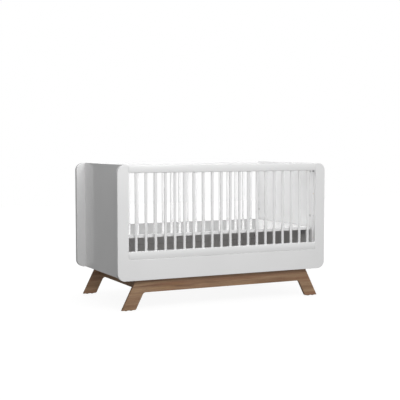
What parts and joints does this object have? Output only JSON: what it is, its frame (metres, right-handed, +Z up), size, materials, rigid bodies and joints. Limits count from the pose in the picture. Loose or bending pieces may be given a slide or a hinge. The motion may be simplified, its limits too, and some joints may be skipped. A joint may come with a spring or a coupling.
{
  "type": "baby crib",
  "caption": "Baby crib with rounded white side boards, slatted openings, closed end panels, a flat mattress base and splayed walnut leg frames.",
  "frame": {"origin": "on the floor under the middle of the crib", "axes": "+X along the crib to its right end, +Y from the front side to the back side, +Z up"},
  "size_m": [1.486, 0.8, 0.894],
  "materials": {
    "white_lacquer": "satin white lacquer on MDF and solid slats",
    "white_laminate": "smooth semi-gloss white laminate",
    "walnut": "walnut wood foil, matt",
    "zinc_steel": "bright zinc plating",
    "brass": "plain",
    "beech": "raw fluted beech",
    "glide_plastic": "matt moulded nylon"
  },
  "bodies": {
    "crib_frame": {"front_board": "white_lacquer", "back_board": "white_lacquer", "left_end_panel": "white_lacquer", "right_end_panel": "white_lacquer", "back_bottom_rail": "white_lacquer", "back_top_rail": "white_lacquer", "back_slats": "white_lacquer", "front_leg_frame": "walnut", "back_leg_frame": "walnut", "left_tie_rail": "walnut", "right_tie_rail": "walnut", "front_left_corner_plate": "zinc_steel", "front_right_corner_plate": "zinc_steel", "back_left_corner_plate": "zinc_steel", "back_right_corner_plate": "zinc_steel", "corner_plate_screws": "zinc_steel", "frame_bolts": "zinc_steel", "cam_locks": "zinc_steel", "cam_studs": "zinc_steel", "level_inserts": "brass", "frame_inserts": "brass", "stile_sleeves": "brass", "dowels": "beech", "foot_glides": "glide_plastic"},
    "base_body": {"mattress_base": "white_laminate", "front_base_batten": "white_laminate", "back_base_batten": "white_laminate", "front_left_base_bracket": "zinc_steel", "front_right_base_bracket": "zinc_steel", "back_left_base_bracket": "zinc_steel", "back_right_base_bracket": "zinc_steel", "bracket_screws": "zinc_steel", "level_bolts": "zinc_steel"},
    "front_barrier": {"front_bottom_rail": "white_lacquer", "front_top_rail": "white_lacquer", "front_slat_01": "white_lacquer", "front_slat_02": "white_lacquer", "front_slat_03": "white_lacquer", "front_slat_04": "white_lacquer", "front_slat_05": "white_lacquer", "front_slat_06": "white_lacquer", "front_slat_07": "white_lacquer", "front_slat_08": "white_lacquer", "front_slat_09": "white_lacquer", "front_slat_10": "white_lacquer", "front_slat_11": "white_lacquer", "front_slat_12": "white_lacquer", "front_slat_13": "white_lacquer", "front_slat_14": "white_lacquer", "front_slat_15": "white_lacquer", "front_slat_16": "white_lacquer", "front_slat_17": "white_lacquer", "front_slat_18": "white_lacquer", "front_slat_19": "white_lacquer", "front_slat_20": "white_lacquer", "front_rail_cams": "zinc_steel", "front_rail_studs": "zinc_steel"}
  },
  "joints": [
    {"name": "base_height", "type": "slide", "parent": "crib_frame", "child": "base_body", "axis": [0, 0, 1], "range_m": [-0.174, 0]},
    {"name": "front_barrier_lift", "type": "slide", "parent": "crib_frame", "child": "front_barrier", "axis": [0, 0, 1], "range_m": [0, 0.6]}
  ]
}
